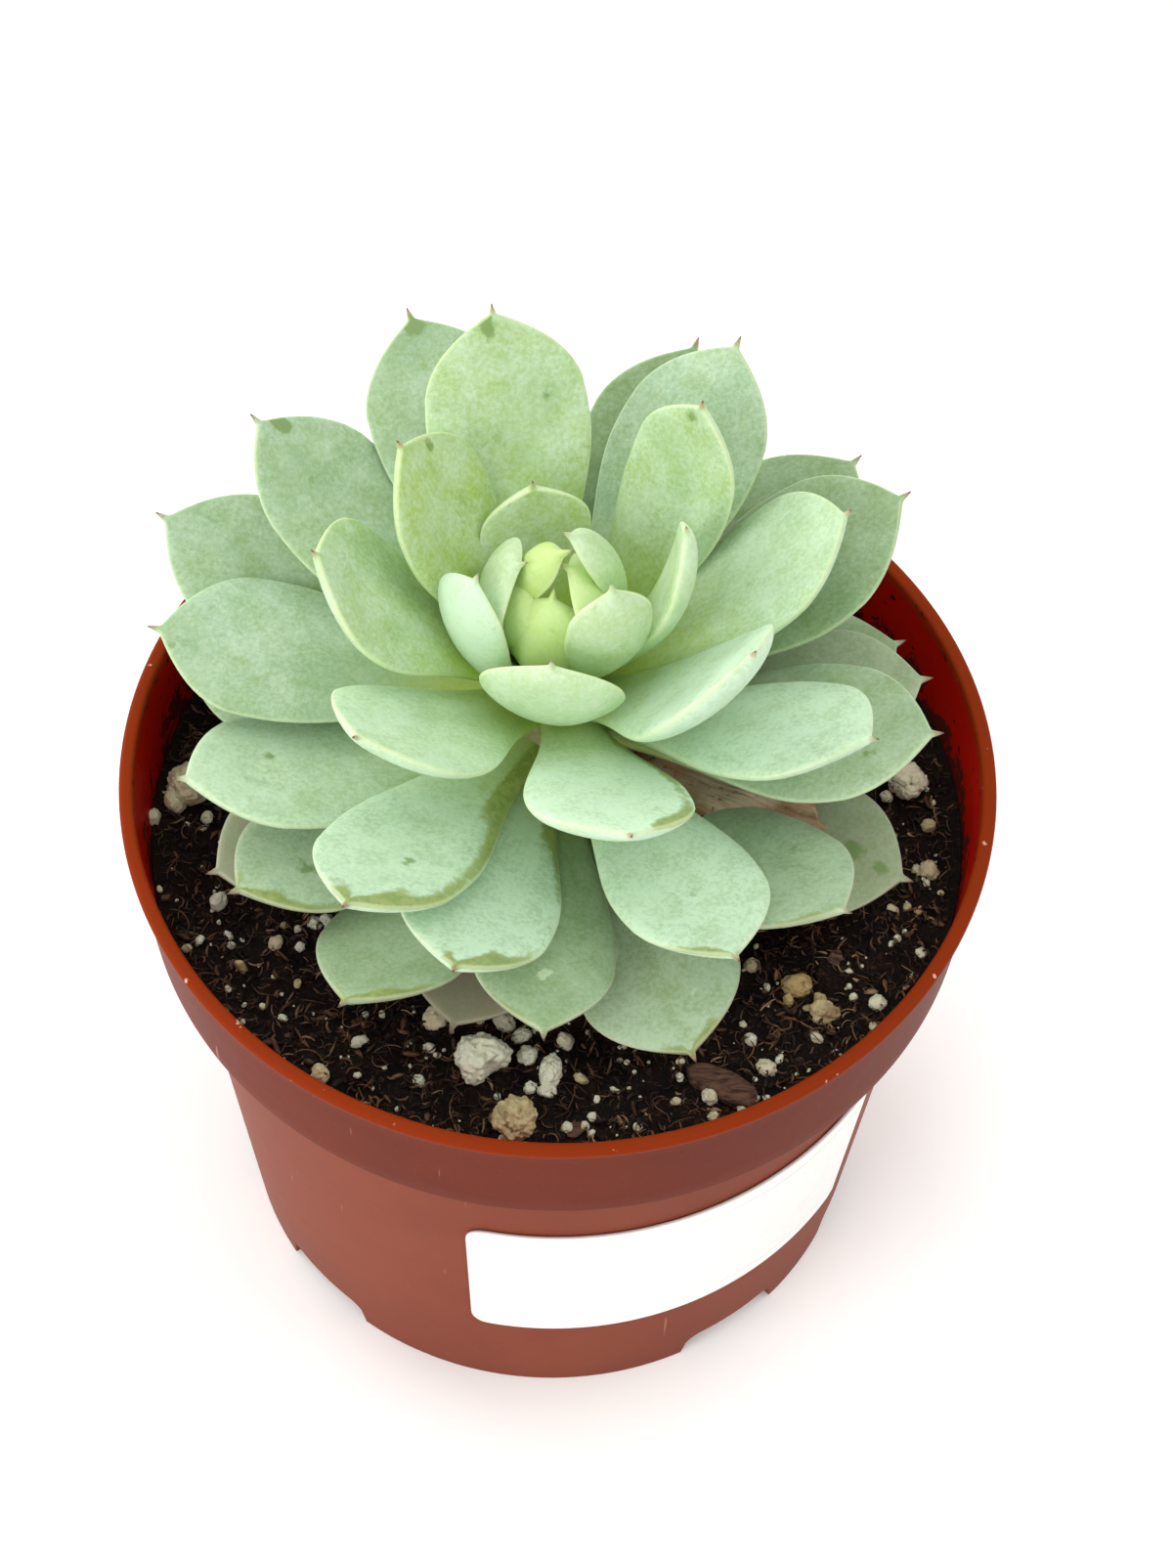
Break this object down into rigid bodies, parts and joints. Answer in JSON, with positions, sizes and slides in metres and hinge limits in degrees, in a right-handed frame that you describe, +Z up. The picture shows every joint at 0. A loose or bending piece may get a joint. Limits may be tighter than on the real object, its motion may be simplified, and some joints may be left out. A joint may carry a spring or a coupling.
{
  "type": "potted painted lady echeveria",
  "caption": "Rosette succulent with pale blue-green spoon leaves, planted in gritty soil in a terracotta-coloured plastic nursery pot with a bare label.",
  "frame": {"origin": "middle of the pot's foot, on the surface it stands on", "axes": "+Z up through the pot's middle; the camera of the picture is on the -Y side; +X to its right"},
  "size_m": [0.108, 0.108, 0.1296],
  "materials": {
    "pot_plastic": "reddish brown satin plastic, finely scuffed",
    "label_paper": "bare white coated paper sticker",
    "soil": "damp dark brown peat mix with grit",
    "stem": "green-brown fleshy stem and roots",
    "heart_leaf": "fresh yellow-green, thin bloom",
    "inner_leaf": "pale green, powdery bloom",
    "middle_leaf": "pale blue-green, powdery bloom",
    "outer_leaf": "blue-green, powdery bloom",
    "lower_leaf": "dull grey-green, worn bloom",
    "dried_leaf": "dry brown, wrinkled",
    "perlite": "matt cream-white, porous",
    "bark": "dull brown bark"
  },
  "bodies": {
    "root": {"nursery_pot": "pot_plastic", "label": "label_paper", "soil": "soil", "stem_with_roots": "stem", "heart_leaf_1": "heart_leaf", "heart_leaf_2": "heart_leaf", "heart_leaf_3": "heart_leaf", "heart_leaf_4": "heart_leaf", "inner_leaf_1": "inner_leaf", "inner_leaf_2": "inner_leaf", "inner_leaf_3": "inner_leaf", "inner_leaf_4": "inner_leaf", "inner_leaf_5": "inner_leaf", "inner_leaf_6": "inner_leaf", "inner_leaf_7": "inner_leaf", "middle_leaf_1": "middle_leaf", "middle_leaf_2": "middle_leaf", "middle_leaf_3": "middle_leaf", "middle_leaf_4": "middle_leaf", "middle_leaf_5": "middle_leaf", "middle_leaf_6": "middle_leaf", "middle_leaf_7": "middle_leaf", "middle_leaf_8": "middle_leaf", "outer_leaf_1": "outer_leaf", "outer_leaf_2": "outer_leaf", "outer_leaf_3": "outer_leaf", "outer_leaf_4": "outer_leaf", "outer_leaf_5": "outer_leaf", "outer_leaf_6": "outer_leaf", "outer_leaf_7": "outer_leaf", "outer_leaf_8": "outer_leaf", "outer_leaf_9": "outer_leaf", "outer_leaf_10": "outer_leaf", "outer_leaf_11": "outer_leaf", "outer_leaf_12": "outer_leaf", "outer_leaf_13": "outer_leaf", "outer_leaf_14": "outer_leaf", "outer_leaf_15": "outer_leaf", "outer_leaf_16": "outer_leaf", "outer_leaf_17": "outer_leaf", "lower_leaf_1": "lower_leaf", "lower_leaf_2": "lower_leaf", "lower_leaf_3": "lower_leaf", "lower_leaf_4": "lower_leaf", "lower_leaf_5": "lower_leaf", "lower_leaf_6": "lower_leaf", "lower_leaf_7": "lower_leaf", "lower_leaf_8": "lower_leaf", "lower_leaf_9": "lower_leaf", "lower_leaf_10": "lower_leaf", "lower_leaf_11": "lower_leaf", "lower_leaf_12": "lower_leaf", "lower_leaf_13": "lower_leaf", "dried_leaf_1": "dried_leaf", "perlite_lump_1": "perlite", "perlite_lump_2": "perlite", "perlite_lump_3": "perlite", "perlite_lump_4": "perlite", "perlite_lump_5": "perlite", "bark_chip": "bark"}
  },
  "joints": []
}
